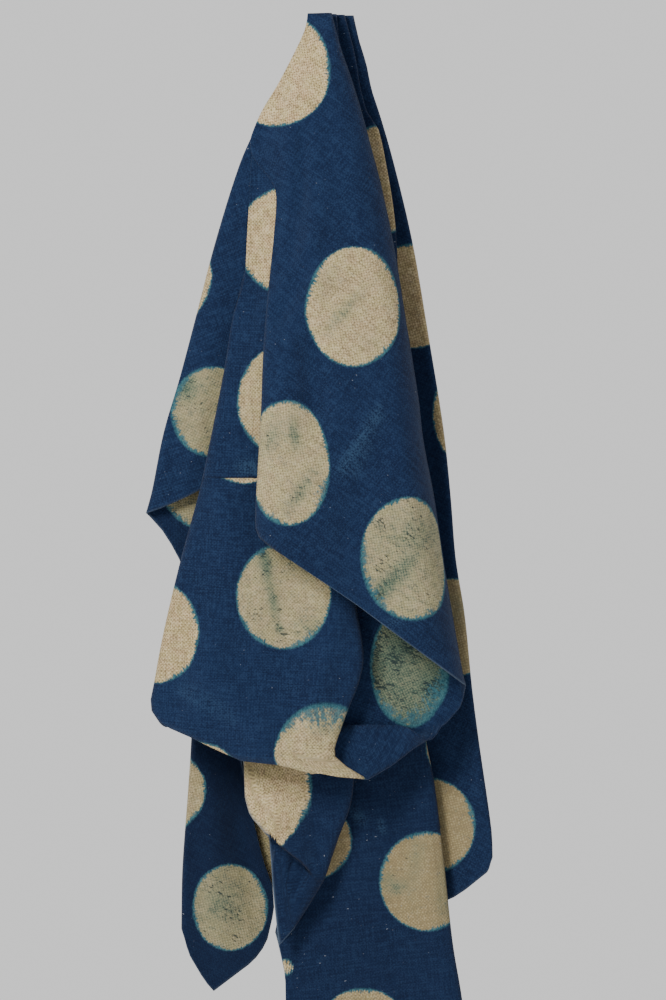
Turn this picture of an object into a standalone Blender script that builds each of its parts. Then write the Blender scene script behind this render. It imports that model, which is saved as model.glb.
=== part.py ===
"""A hung shibori dyed cloth: one sheet, gathered at a peak, that fans out in layered pleats.

The origin is at the peak, +Z is up and -Y is the front. Tables are in millimetres.
The sheet is one strip of panels. Each panel hangs between two fold lines, in a layer of its
own, and the sheet turns round at each fold line into the panel beside it.
"""
import math
from collections import namedtuple
from functools import lru_cache

import bmesh
import bpy

MM = 0.001
NAME = "cloth"

THICKNESS = 1.2            # the cloth itself
NECK_PITCH = 3.0           # from one layer to the next, at the peak
BODY_PITCH = 9.0           # the same, where the pleats hang free
PITCH_DROP = 330.0         # how far down the pleats are fully open
MIDDLE_LAYER = 5.0         # the layer that hangs straight below the peak
ROUND_DROP = 230.0         # how far down the bundle becomes round
EDGE_SQUEEZE = 0.72        # 0 leaves the bundle square, 1 closes it at its outline
FOLD_RADIUS = 2.0          # of the tightest turn
FOLD_REACH = 13.0          # how far from its fold a panel starts to turn, at most
FOLD_SHARE = 0.3           # the same, as a share of the panel's width
FOLD_LEAST = 0.9           # the least reach, as a share of half the fold's depth
LEAST_WIDTH = 0.5          # of a panel, where its two fold lines meet at the peak
COLUMN_STEPS = 36          # heights at which a column is worked out before it is respaced
TAIL = 24.0                # last stretch above the hem, with rows of its own
MAIN_ROWS = 16
TAIL_ROWS = 4
TURN_STEPS = 6             # straight pieces in a hem's turn
TURN_ONSET = 1.25          # how soon a hem turns right round as its rise grows
TURN_START = 0.45          # how soon its rows move down into the turn
TURN_LIFT = 0.5            # how far a full turn lifts the hem, in radii
TURN_NEAR = 3.0            # how near its rows a hem point must be to be turned up
TURN_ANGLES = (0, 50, 90)  # where a panel's columns stand round a fold, in degrees

Panel = namedtuple("Panel", "name start end layer columns bulge pull hem turn")
Turn = namedtuple("Turn", "side radius rise")

# Fold lines and the two free sides. Each row is (drop below the peak, x to the right).
FOLD_LINES = {
    "a_free": ((0, -8), (46, -9), (116, -12), (241, -16), (336, -16)),
    "a_left": ((0, -15.5), (9, -16.8), (23, -23), (46, -35), (59, -43), (70, -48.2), (80, -51.4),
               (90, -49.5), (100, -43.5), (108, -38.8), (118, -37), (140, -38), (176, -40.5),
               (213, -43), (251, -44.4), (290, -46.6), (316, -47.8), (326, -46), (332, -39.4)),
    "a_right": ((0, -1), (14, 2.5), (25, 5.6), (39, 10.6), (63, 18), (85, 23.8), (106, 29.4),
                (147, 38), (191, 45), (241, 53), (267, 56), (301, 62.5), (347, 69.4),
                (412, 80.6), (419, 82.5)),
    "f_left": ((0, -6.6), (46, -17), (116, -28), (241, -41), (366, -50), (464, -56)),
    "f_right": ((0, 2), (25, 4.5), (63, 12), (116, 15), (241, 20), (366, 22), (478, 13),
                (498, 10), (519, 1.2), (540, -5), (553, -12.5), (571, -24)),
    "e_left": ((0, -4), (116, -12), (241, -16), (366, -19), (478, -22), (530, -28),
               (575, -36)),
    "e_right": ((0, 7), (25, 13.5), (49, 17.5), (63, 22), (71, 28), (91, 32.5), (116, 36.9),
                (136, 39.2), (165, 40.5), (200, 42), (300, 50), (400, 55), (454, 58),
                (479, 63), (526, 68.8), (583, 75), (616, 80.6), (650, 84)),
    "d_left": ((0, 0), (116, 4), (241, 9), (366, 15), (491, 24), (572, 32)),
    "c_right": ((0, 12.6), (16, 16.2), (30, 20.6), (46, 23.8), (61, 28.8), (91, 37.5),
                (141, 49.4), (199, 59.4), (261, 69.4), (303, 73.8), (341, 76.9), (376, 82.5),
                (421, 87), (454, 91.2), (512, 99.4), (528, 100)),
    "g_left": ((0, -15.5), (25, -20), (46, -30), (70, -42), (116, -55), (241, -80), (341, -86),
               (451, -88.8), (488, -91), (536, -94.4), (573, -95)),
    "g_right": ((0, -8.6), (46, -20.5), (116, -38), (241, -52), (366, -59), (464, -58.5)),
    "h_left": ((0, -15), (9, -16.2), (23, -22.5), (46, -34.4), (59, -42.5), (70, -47.5),
               (94, -58), (142, -73), (188, -85), (228, -95.6), (262, -105.6), (299, -113),
               (312, -116.6)),
    "h_right": ((0, -9), (25, -13), (46, -24), (70, -36), (94, -42), (116, -44), (241, -59),
                (285, -61)),
    "b_left": ((0, -14), (9, -15.5), (23, -21.5), (46, -33.5), (70, -46.5), (91, -50.6),
               (116, -52), (142, -53.5), (165, -55), (189, -62), (223, -67.5), (276, -78),
               (299, -83), (343, -95), (388, -105.6), (417, -111), (433, -113.4), (442, -108)),
    "b_right": ((0, -5), (46, -4), (116, -2), (241, 7.5), (330, 12), (368, 14), (398, 18.6),
                (414, 16.9), (436, 8.8), (458, 1.2), (466, 4), (477, 20.6)),
    "b_free": ((0, -8.5), (46, -14), (116, -18), (241, -14), (366, -10), (440, -16),
               (472, -14)),
}

# Hems between the ends of two fold lines, in the order of the panel. Rows are (drop, x).
HEM_A = ((368, 13.8), (389, 41.9))
HEM_A2 = ((432, 80.5), (443, 71), (445.6, 67), (457, 50), (467.5, 37), (477, 20.6),
          (472.5, 7.5), (463, -8), (459, -27))
HEM_F = ((490, -55), (501, -51.9), (507, -46.5), (514, -40.1), (529, -38.8), (544, -37.8),
         (560, -36.3), (582.5, -33.9))
HEM_E = ((602, -30), (660, -29), (668, 20))
HEM_D = ((554, 75.6), (549, 83), (537, 97.5))
HEM_S = ((541, 67), (549, -30), (547, -44), (569, -83))
HEM_G = ((589, -90.6), (603, -82.5), (613, -75.6), (594, -50), (583, -41.9), (562, -37),
         (547, -38), (531, -43.8), (498, -52))
HEM_H2 = ((343, -95), (330, -102), (321, -108))
HEM_H = ((309, -107.5), (303, -93.8), (298, -83.8))
HEM_B = ((450.6, -88), (457, -75), (465, -57), (467.5, -33.8), (472, -15.6), (475.6, 3.1))

# A hem that is turned up. Rows of rise are (drop, x, rise), against the hem's own points.
TURN_A2 = Turn("front", 3.0, ((445.6, 67, 0), (457, 50, 11), (467.5, 37, 22), (477, 20.6, 32),
                              (472.5, 7.5, 27), (463, -8, 12), (459, -27, 0)))

# The sheet, from its free side behind the front panel to its other free side.
PANELS = (
    Panel("a_back", "a_free", "a_left", 1.0, 2, 0.0, 3, (), None),
    Panel("a", "a_left", "a_right", 0.0, 4, -0.35, 3, HEM_A, None),
    Panel("a2", "a_right", "f_left", 4.2, 11, -0.1, 3, HEM_A2, TURN_A2),
    Panel("f", "f_left", "f_right", 5.2, 3, -0.1, 3, HEM_F, None),
    Panel("f_back", "f_right", "e_left", 6.1, 2, 0.0, 3, (), None),
    Panel("e", "e_left", "e_right", 7.0, 3, -0.1, 3, HEM_E, None),
    Panel("e_back", "e_right", "d_left", 8.0, 2, 0.0, 3, (), None),
    Panel("d", "d_left", "c_right", 9.0, 3, -0.1, 3, HEM_D, None),
    Panel("s", "c_right", "g_left", 10.2, 6, 0.3, 3, HEM_S, None),
    Panel("g", "g_left", "g_right", 8.8, 5, -0.1, 30, HEM_G, None),
    Panel("h2", "g_right", "h_left", 5.4, 3, 0.0, 3, HEM_H2, None),
    Panel("h", "h_left", "h_right", 4.2, 3, -0.1, 3, HEM_H, None),
    Panel("b_side", "h_right", "b_left", 3.0, 2, 0.0, 3, (), None),
    Panel("b", "b_left", "b_right", 2.0, 5, -0.25, 3, HEM_B, None),
    Panel("b_back", "b_right", "b_free", 2.8, 2, 0.0, 3, (), None),
)

# The outline that the round bundle is worked out from. Rows are (drop, x).
OUTLINE_LEFT = ((0, -16), (70, -49), (142, -74), (228, -97), (312, -117), (440, -114),
                (520, -100), (680, -96))
OUTLINE_RIGHT = ((0, 13), (61, 30), (141, 51), (261, 71), (341, 78), (421, 89), (528, 101),
                 (680, 101))

CLOTH_COLOUR = (0.016, 0.046, 0.15, 1.0)


def smooth_step(value):
    value = min(max(value, 0.0), 1.0)
    return value * value * (3.0 - 2.0 * value)


def mix(low, high, share):
    return low + (high - low) * share


def mix_points(low, high, share):
    return tuple(mix(one, other, share) for one, other in zip(low, high))


@lru_cache(maxsize=None)
def curve_at(rows, share):
    """A point on a smooth curve through rows, share 0 to 1 along the first column's range."""
    drop = mix(rows[0][0], rows[-1][0], share)
    return drop, table_at(rows, drop)


def slope_at(rows, index):
    before = max(index - 1, 0)
    after = min(index + 1, len(rows) - 1)
    return (rows[after][1] - rows[before][1]) / (rows[after][0] - rows[before][0])


def table_at(rows, key):
    """The second column at a key in the first, on a smooth curve through the rows."""
    key = min(max(key, rows[0][0]), rows[-1][0])
    index = 0
    while index < len(rows) - 2 and rows[index + 1][0] < key:
        index += 1
    span = rows[index + 1][0] - rows[index][0]
    share = (key - rows[index][0]) / span
    start_slope = slope_at(rows, index) * span
    end_slope = slope_at(rows, index + 1) * span
    square = share * share
    cube = square * share
    return ((2 * cube - 3 * square + 1) * rows[index][1] + (cube - 2 * square + share) * start_slope
            + (3 * square - 2 * cube) * rows[index + 1][1] + (cube - square) * end_slope)


def lengths_along(points):
    total = [0.0]
    for before, after in zip(points, points[1:]):
        total.append(total[-1] + math.dist(before, after))
    return total


def point_along(points, lengths, distance):
    """The point at a distance along a line of straight pieces."""
    distance = min(max(distance, 0.0), lengths[-1])
    index = 0
    while index < len(points) - 2 and lengths[index + 1] < distance:
        index += 1
    span = max(lengths[index + 1] - lengths[index], 1e-9)
    return mix_points(points[index], points[index + 1], (distance - lengths[index]) / span)


def pitch_at(drop):
    return mix(NECK_PITCH, BODY_PITCH, smooth_step(drop / PITCH_DROP))


def squeeze_at(drop, x):
    """How much nearer the layers lie to the middle one, towards the bundle's outline."""
    left = table_at(OUTLINE_LEFT, drop)
    right = table_at(OUTLINE_RIGHT, drop)
    across = min(abs(x - (left + right) / 2.0) / ((right - left) / 2.0), 1.0)
    rounded = math.sqrt(1.0 - EDGE_SQUEEZE * across * across)
    return mix(1.0, rounded, smooth_step(drop / ROUND_DROP))


def depth_at(layer, drop, x):
    return (layer - MIDDLE_LAYER) * pitch_at(drop) * squeeze_at(drop, x)


def fold_reach(layer, beside, drop, x, width):
    """How far a panel's turn into the panel beside it reaches."""
    half = abs(depth_at(layer, drop, x) - depth_at(beside, drop, x)) / 2.0
    reach = min(half * half / FOLD_RADIUS, FOLD_REACH)
    return min(max(reach, half * FOLD_LEAST), FOLD_SHARE * width)


@lru_cache(maxsize=None)
def hem_line(panel):
    start = FOLD_LINES[panel.start][-1]
    end = FOLD_LINES[panel.end][-1]
    middle = panel.hem
    if middle and math.dist(start, middle[0]) > math.dist(start, middle[-1]):
        middle = tuple(reversed(middle))
    return (start,) + tuple(middle) + (end,)


def turn_share(panel, drop, x):
    """How far the hem rises after its turn, at the hem point nearest to a place."""
    rows = panel.turn.rise
    found = [segment_gap(rows[i], rows[i + 1], drop, x) + (i,) for i in range(len(rows) - 1)]
    gap, share, nearest = min(found)
    if gap > TURN_NEAR:
        return 0.0
    return mix(rows[nearest][2], rows[nearest + 1][2], share)


def segment_gap(start, end, drop, x):
    """The distance from a place to a straight piece, and the share along the piece."""
    along = (end[0] - start[0], end[1] - start[1])
    share = ((drop - start[0]) * along[0] + (x - start[1]) * along[1])
    share = min(max(share / (along[0] ** 2 + along[1] ** 2), 0.0), 1.0)
    near = (start[0] + along[0] * share, start[1] + along[1] * share)
    return math.dist(near, (drop, x)), share


def column_shares(panel, before, after, share):
    """Where a panel's columns stand, from 0 at its start to 1 at its end, at one height."""
    start = curve_at(FOLD_LINES[panel.start], share)
    end = curve_at(FOLD_LINES[panel.end], share)
    width = max(math.dist(start, end), LEAST_WIDTH)
    angles = [math.radians(angle) for angle in TURN_ANGLES]
    first = [0.0]
    last = [1.0]
    if before is not None:
        reach = fold_reach(panel.layer, before.layer, *start, width) / width
        first = [reach * (1.0 - math.cos(angle)) for angle in angles]
    if after is not None:
        reach = fold_reach(panel.layer, after.layer, *end, width) / width
        last = [1.0 - reach * (1.0 - math.cos(angle)) for angle in reversed(angles)]
    inner = [mix(first[-1], last[0], step / panel.columns) for step in range(1, panel.columns)]
    return first + inner + last


def panel_depth(panel, before, after, share, across, drop, x):
    """The depth of one point, eased into the turns at the panel's two folds."""
    own = depth_at(panel.layer + panel.bulge * math.sin(math.pi * across), drop, x)
    start = curve_at(FOLD_LINES[panel.start], share)
    end = curve_at(FOLD_LINES[panel.end], share)
    width = max(math.dist(start, end), LEAST_WIDTH)
    for beside, fold, gap in ((before, start, across * width), (after, end, (1.0 - across) * width)):
        if beside is None:
            continue
        reach = fold_reach(panel.layer, beside.layer, *fold, width)
        if gap < reach:
            middle = depth_at((panel.layer + beside.layer) / 2.0, drop, x)
            return middle + (own - middle) * math.sqrt(max(1.0 - (1.0 - gap / reach) ** 2, 0.0))
    return own


def hang_point(panel, before, after, share, across):
    """One point of the sheet: share runs down from the peak and across runs over the panel."""
    start = curve_at(FOLD_LINES[panel.start], share)
    end = curve_at(FOLD_LINES[panel.end], share)
    drop, x = mix_points(start, end, across)
    hem = hem_line(panel)
    lengths = lengths_along(hem)
    straight = mix_points(hem[0], hem[-1], across)
    wanted = point_along(hem, lengths, across * lengths[-1])
    pull = share ** panel.pull
    drop += (wanted[0] - straight[0]) * pull
    x += (wanted[1] - straight[1]) * pull
    return drop, x, panel_depth(panel, before, after, share, across, drop, x)


def column_points(panel, before, after, index):
    """One column, from the peak to its hem, as evenly spaced points."""
    line = []
    for step in range(COLUMN_STEPS + 1):
        share = step / COLUMN_STEPS
        across = column_shares(panel, before, after, share)[index]
        line.append(hang_point(panel, before, after, share, across))
    rise = turn_share(panel, line[-1][0], line[-1][1]) if panel.turn else 0.0
    most = max(row[2] for row in panel.turn.rise) if panel.turn else 1.0
    amount = math.sqrt(rise / most)
    reached = lengths_along(line)[-1]
    after_turn = [0.0, 0.0, 0.0]
    if rise > 0.0:
        radius = panel.turn.radius
        side = -1.0 if panel.turn.side == "front" else 1.0
        angle = math.pi * smooth_step(amount * TURN_ONSET)
        hem_drop, hem_x, hem_depth = line[-1]
        for step in range(1, TURN_STEPS + 1):
            turned = angle * step / TURN_STEPS
            line.append((hem_drop + radius * (math.sin(turned) - TURN_LIFT * angle / math.pi), hem_x,
                         hem_depth + side * radius * (1.0 - math.cos(turned))))
        line.append((line[-1][0] + rise * math.cos(angle), hem_x,
                     line[-1][2] + side * rise * math.sin(angle)))
        arc = radius * angle
        after_turn = [arc / 2.0, arc, arc + rise]
    lengths = lengths_along(line)
    rows = [(reached - TAIL) * row / MAIN_ROWS for row in range(MAIN_ROWS + 1)]
    for row in range(TAIL_ROWS):
        plain = reached - TAIL * (TAIL_ROWS - 1 - row) / TAIL_ROWS
        turned = reached + ([0.0] + after_turn)[row]
        rows.append(mix(plain, turned, smooth_step(amount / TURN_START)))
    rows[-1] = lengths[-1]
    return [point_along(line, lengths, distance) for distance in rows]


def sheet_columns():
    """Every column of the sheet, in order, from one free side to the other."""
    columns = []
    for number, panel in enumerate(PANELS):
        before = PANELS[number - 1] if number > 0 else None
        after = PANELS[number + 1] if number < len(PANELS) - 1 else None
        count = len(column_shares(panel, before, after, 0.0))
        first = 1 if before is not None else 0
        for index in range(first, count):
            columns.append(column_points(panel, before, after, index))
    return columns


def cloth_material():
    material = bpy.data.materials.new("indigo_cotton")
    material.use_nodes = True
    shader = material.node_tree.nodes["Principled BSDF"]
    shader.inputs["Base Color"].default_value = CLOTH_COLOUR
    shader.inputs["Roughness"].default_value = 0.9
    shader.inputs["Metallic"].default_value = 0.0
    return material


def make_cloth(collection):
    """Lofts the sheet between its columns, then gives it its thickness."""
    columns = sheet_columns()
    mesh = bpy.data.meshes.new(NAME)
    body = bmesh.new()
    grid = []
    for column in columns:
        grid.append([body.verts.new((x * MM, depth * MM, -drop * MM)) for drop, x, depth in column])
    for left, right in zip(grid, grid[1:]):
        for row in range(len(left) - 1):
            body.faces.new((left[row], left[row + 1], right[row + 1], right[row]))
    body.to_mesh(mesh)
    body.free()
    mesh.shade_smooth()
    cloth = bpy.data.objects.new(NAME, mesh)
    collection.objects.link(cloth)
    cloth.data.materials.append(cloth_material())
    solid = cloth.modifiers.new("thickness", "SOLIDIFY")
    solid.thickness = THICKNESS * MM
    solid.offset = 0.0
    return cloth


def main():
    for thing in list(bpy.data.objects):
        bpy.data.objects.remove(thing, do_unlink=True)
    collection = bpy.data.collections.new("hung_shibori_cloth")
    bpy.context.scene.collection.children.link(collection)
    make_cloth(collection)


main()
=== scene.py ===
"""The looks of a hung shibori dyed cloth: its finished sheet, dye, weave, studio and camera.

Tables are in millimetres and the finished model is in metres. The origin is at the peak,
+Z is up and -Y is the front. The sheet follows the fold lines of its solid, with finer turns,
tucks, turned hems, soft creases, and the dyer's discs laid on the flat cloth.
"""
import math
from collections import namedtuple
from functools import lru_cache

import bpy
import numpy as np
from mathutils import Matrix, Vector, noise


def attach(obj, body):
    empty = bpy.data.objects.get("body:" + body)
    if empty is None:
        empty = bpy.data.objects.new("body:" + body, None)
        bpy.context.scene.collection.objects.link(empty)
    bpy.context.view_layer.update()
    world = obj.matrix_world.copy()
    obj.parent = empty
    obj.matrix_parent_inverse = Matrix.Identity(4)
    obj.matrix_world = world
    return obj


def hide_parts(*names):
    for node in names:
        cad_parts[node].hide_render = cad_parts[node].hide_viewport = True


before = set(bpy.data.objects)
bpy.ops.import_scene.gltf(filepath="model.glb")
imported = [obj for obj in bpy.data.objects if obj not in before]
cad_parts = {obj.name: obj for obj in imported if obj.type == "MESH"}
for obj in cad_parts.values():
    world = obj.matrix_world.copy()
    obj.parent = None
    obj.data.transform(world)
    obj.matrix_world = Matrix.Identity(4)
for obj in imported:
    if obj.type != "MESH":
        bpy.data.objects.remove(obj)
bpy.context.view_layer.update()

MM = 0.001

# The sheet
THICKNESS = 0.7            # the finished cloth, with its nap
NECK_PITCH = 3.0           # from one layer to the next, at the peak
BODY_PITCH = 9.0           # the same, where the pleats hang free
PITCH_DROP = 330.0         # how far down the pleats are fully open
MIDDLE_LAYER = 5.0         # the layer that hangs straight below the peak
ROUND_DROP = 230.0         # how far down the bundle becomes round
EDGE_SQUEEZE = 0.72        # 0 leaves the bundle square, 1 closes it at its outline
FOLD_RADIUS = 2.0          # of the tightest turn
FOLD_REACH = 13.0          # how far from its fold a panel starts to turn, at most
FOLD_SHARE = 0.3           # the same, as a share of the panel's width
FOLD_LEAST = 0.9           # the least reach, as a share of half the fold's depth
LEAST_WIDTH = 0.5          # of a panel, where its two fold lines meet at the peak
TAIL = 24.0                # last stretch above the hem, with rows of its own
MAIN_ROWS = 92
TAIL_ROWS = 14             # of which a turned hem gives some to its tail, arc and rise
TURN_TAIL_ROWS = 4
TURN_ARC_ROWS = 6
TURN_STEPS = 10            # straight pieces in a hem's turn
TURN_ONSET = 1.25          # how soon a hem turns right round as its rise grows
TURN_START = 0.45          # how soon its rows move down into the turn
TURN_LIFT = 0.5            # how far a full turn lifts the hem, in radii
TURN_NEAR = 3.0            # how near its rows a hem point must be to be turned up
TURN_ANGLES = (0, 22, 45, 68, 90)
COLUMN_STEPS = 64          # heights at which a column is worked out before it is resampled

# The dyed discs and the weave
WRAP_REACH = 70.0          # how far past a fold a disc can go on
CLEAR_OF_DISCS = 60.0      # the gap that is kept where no disc is near
DISC_MIDDLE = 0.02         # a share of a disc, inside which the gap is that of its middle
DISC_SEED = 11.7           # between the noise of one disc and the next
PANEL_SEED = 31.0          # between the weave of one panel and the next
NOTCH_LENGTH = (0.5, 2.1)  # of the notches in a disc's edge
TEAL_INSIDE = (-0.8, -2.0)
TEAL_OUTSIDE = (0.8, 1.7)
THREAD_RELIEF = 0.35
WEAVE_SPACING = 1.15       # from one thread to the next

Panel = namedtuple("Panel", "name start end layer columns bulge grain hem turn pull",
                   defaults=((), None, 3))
Turn = namedtuple("Turn", "side radius rise")
Disc = namedtuple("Disc", "panel x drop half_width half_height dirt tan lean", defaults=(0,))

# Fold lines and the two free sides. Each row is (drop below the peak, x to the right).
FOLD_LINES = {
    "a_free": ((0, -8), (46, -9), (116, -12), (241, -16), (336, -16)),
    "a_left": ((0, -15.5), (9, -16.8), (23, -23), (46, -35), (59, -43), (70, -48.2), (80, -51.4),
               (90, -49.5), (99, -42.5), (107, -36.6), (117, -35), (140, -36.6), (176, -40.2),
               (213, -43), (251, -44.4), (290, -46.6), (316, -47.8), (326, -46), (332, -39.4)),
    "a_right": ((0, -1), (14, 2.5), (25, 5.6), (39, 10.6), (63, 18), (85, 23.8), (106, 29.4),
                (147, 38), (191, 45), (241, 53), (267, 56), (301, 62.5), (347, 69.4),
                (412, 80.6), (419, 82.5)),
    "f_left": ((0, -6.6), (46, -17), (116, -28), (241, -41), (366, -50), (464, -56)),
    "f_right": ((0, 2), (25, 4.5), (63, 12), (116, 15), (241, 20), (366, 22), (478, 13),
                (498, 10), (519, 1.2), (540, -5), (553, -12.5), (571, -24)),
    "e_left": ((0, -4), (116, -12), (241, -16), (366, -19), (478, -22), (530, -28),
               (575, -36)),
    "e_right": ((0, 7), (25, 13.5), (49, 17.5), (63, 22), (71, 28), (91, 32.5), (116, 36.9),
                (136, 39.2), (165, 40.5), (200, 42), (300, 50), (400, 55), (454, 58),
                (479, 63), (526, 68.8), (583, 75), (616, 80.6), (650, 84)),
    "d_left": ((0, 0), (116, 4), (241, 9), (366, 15), (491, 24), (572, 32)),
    "c_right": ((0, 12.6), (16, 16.2), (30, 20.6), (46, 23.8), (61, 28.8), (91, 37.5),
                (141, 49.4), (199, 59.4), (261, 69.4), (303, 73.8), (341, 76.9), (376, 82.5),
                (421, 87), (454, 91.2), (512, 99.4), (528, 100)),
    "g_left": ((0, -15.5), (25, -20), (46, -30), (70, -42), (116, -55), (241, -80), (341, -86),
               (451, -88.8), (488, -91), (536, -94.4), (573, -95)),
    "g_right": ((0, -8.6), (46, -20.5), (116, -38), (241, -52), (366, -59), (464, -58.5)),
    "h_left": ((0, -15), (9, -16.2), (23, -22.5), (46, -34.4), (59, -42.5), (70, -47.5),
               (94, -58), (142, -73), (188, -85), (228, -95.6), (262, -105.6), (299, -113),
               (312, -116.6)),
    "h_right": ((0, -9), (25, -13), (46, -24), (70, -36), (94, -42), (116, -44), (241, -59),
                (285, -61)),
    "b_left": ((0, -14), (9, -15.5), (23, -21.5), (46, -33.5), (70, -46.5), (91, -50.6),
               (116, -52), (142, -53.5), (165, -55), (189, -62), (223, -67.5), (276, -78),
               (299, -83), (343, -95), (388, -105.6), (417, -111), (433, -113.4), (442, -108)),
    "b_right": ((0, -5), (46, -4), (116, -2), (241, 7.5), (330, 12), (368, 14), (398, 18.6),
                (414, 16.9), (436, 8.4), (452, 2.6), (461, -0.4), (467, 4.6), (477, 20.6)),
    "b_free": ((0, -8.5), (46, -14), (116, -18), (241, -14), (366, -10), (440, -16),
               (472, -14)),
}

# Hems between the ends of two fold lines. Rows are (drop, x).
HEM_A = ((368, 13.8), (389, 41.9))
HEM_A2 = ((432, 80.5), (443, 71), (445.6, 67), (457, 50), (467.5, 37), (477, 20.6),
          (472.5, 7.5), (463, -8), (459, -27))
HEM_F = ((490, -55), (501, -51.9), (507, -46.5), (514, -40.1), (529, -38.8), (544, -37.8),
         (560, -36.3), (582.5, -33.9))
HEM_E = ((602, -30), (660, -29), (668, 20))
HEM_D = ((554, 75.6), (549, 83), (537, 97.5))
HEM_S = ((541, 67), (549, -30), (547, -44), (569, -83))
HEM_G = ((589, -90.6), (603, -82.5), (613, -75.6), (594, -50), (583, -41.9), (562, -37),
         (547, -38), (531, -43.8), (498, -52))
HEM_H2 = ((343, -95), (330, -102), (321, -108))
HEM_H = ((309, -107.5), (303, -93.8), (298, -83.8))
HEM_B = ((450.6, -88), (457, -75), (465, -57), (467.5, -33.8), (472, -15.6), (475.6, 3.1))

# Hems that are turned up. Rows of rise are (drop, x, rise), against the hem's own points.
TURN_A2 = Turn("front", 3.0, ((445.6, 67, 0), (457, 50, 11), (467.5, 37, 22), (477, 20.6, 32),
                              (472.5, 7.5, 27), (463, -8, 12), (459, -27, 0)))
TURN_B = Turn("back", 1.1, ((442, -108, 0), (450.6, -88, 7), (457, -75, 10), (465, -57, 11),
                            (467.5, -33.8, 9), (473, -10, 0)))

# The sheet, from its free side behind the front panel to its other free side. Grain is the
# angle of the weave on the panel, in degrees from upright.
PANELS = (
    Panel("a_back", "a_free", "a_left", 1.0, 8, 0.0, 35),
    Panel("a", "a_left", "a_right", 0.0, 38, -0.35, 35, HEM_A),
    Panel("a2", "a_right", "f_left", 4.2, 44, -0.1, 20, HEM_A2, TURN_A2),
    Panel("f", "f_left", "f_right", 5.2, 24, -0.1, -11, HEM_F),
    Panel("f_back", "f_right", "e_left", 6.1, 8, 0.0, 8),
    Panel("e", "e_left", "e_right", 7.0, 26, -0.1, -8, HEM_E),
    Panel("e_back", "e_right", "d_left", 8.0, 10, 0.0, 8),
    Panel("d", "d_left", "c_right", 9.0, 24, -0.1, 30, HEM_D),
    Panel("s", "c_right", "g_left", 10.2, 36, 0.3, 15, HEM_S),
    Panel("g", "g_left", "g_right", 8.8, 26, -0.1, 32, HEM_G, pull=30),
    Panel("h2", "g_right", "h_left", 5.4, 14, 0.0, 40, HEM_H2),
    Panel("h", "h_left", "h_right", 4.2, 18, -0.1, -20, HEM_H),
    Panel("b_side", "h_right", "b_left", 3.0, 6, 0.0, 0),
    Panel("b", "b_left", "b_right", 2.0, 44, -0.25, 3, HEM_B, TURN_B),
    Panel("b_back", "b_right", "b_free", 2.8, 6, 0.0, 0),
)

BEHIND_LEFT = 4.2          # the layer of the panel that the left pleat lies on
LEFT_LAYER = 2.0           # the left pleat's own layer

# The outline that the round bundle is worked out from. Rows are (drop, x).
OUTLINE_LEFT = ((0, -16), (70, -49), (142, -74), (228, -97), (312, -117), (440, -114),
                (520, -100), (680, -96))
OUTLINE_RIGHT = ((0, 13), (61, 30), (141, 51), (261, 71), (341, 78), (421, 89), (528, 101),
                 (680, 101))

# Tucks, each of which hides a stretch of cloth under its edge. Rows are (x, drop, step), and
# step is how far the cloth above stands in front of the cloth below.
TUCKS = {
    "b": ((-100, 289.5, 1.7), (-60, 289.5, 1.9), (-46, 289.5, 1.8), (-30, 290, 0.9),
          (-15, 290, 0)),
    "f": ((-60, 506, 6.0), (-40, 514, 7.0), (-33, 519.5, 8.0), (-26, 525, 8.0),
          (-20, 529.5, 7.4), (-15.5, 535, 5.0), (-10, 540, 0)),
}
TUCK_ROWS = 10             # rows that are drawn together at a tuck
TUCK_SPAN = 5.0            # the height that those rows cover
TUCK_ABOVE = {"b": 16.0, "f": 34.0}   # how far up the cloth stands proud
TUCK_BELOW = {"b": 9.0, "f": 26.0}    # how far down it is drawn in
TUCK_EDGE = 0.9            # the height over which the cloth steps back
TUCK_PROUD = 0.6           # the share of its step by which the cloth above comes forward

# Near the peak the two front pleats lie flat on the cloth behind them.
NECK_LAP = 0.5             # layers from one such pleat to the next
NECK_SLOPE = 28.0          # how far from its fold a pleat lies flat
REST_B = (150.0, 265.0)    # the drops between which the left pleat lifts off
REST_A = (125.0, 235.0)    # the same for the front pleat

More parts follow.
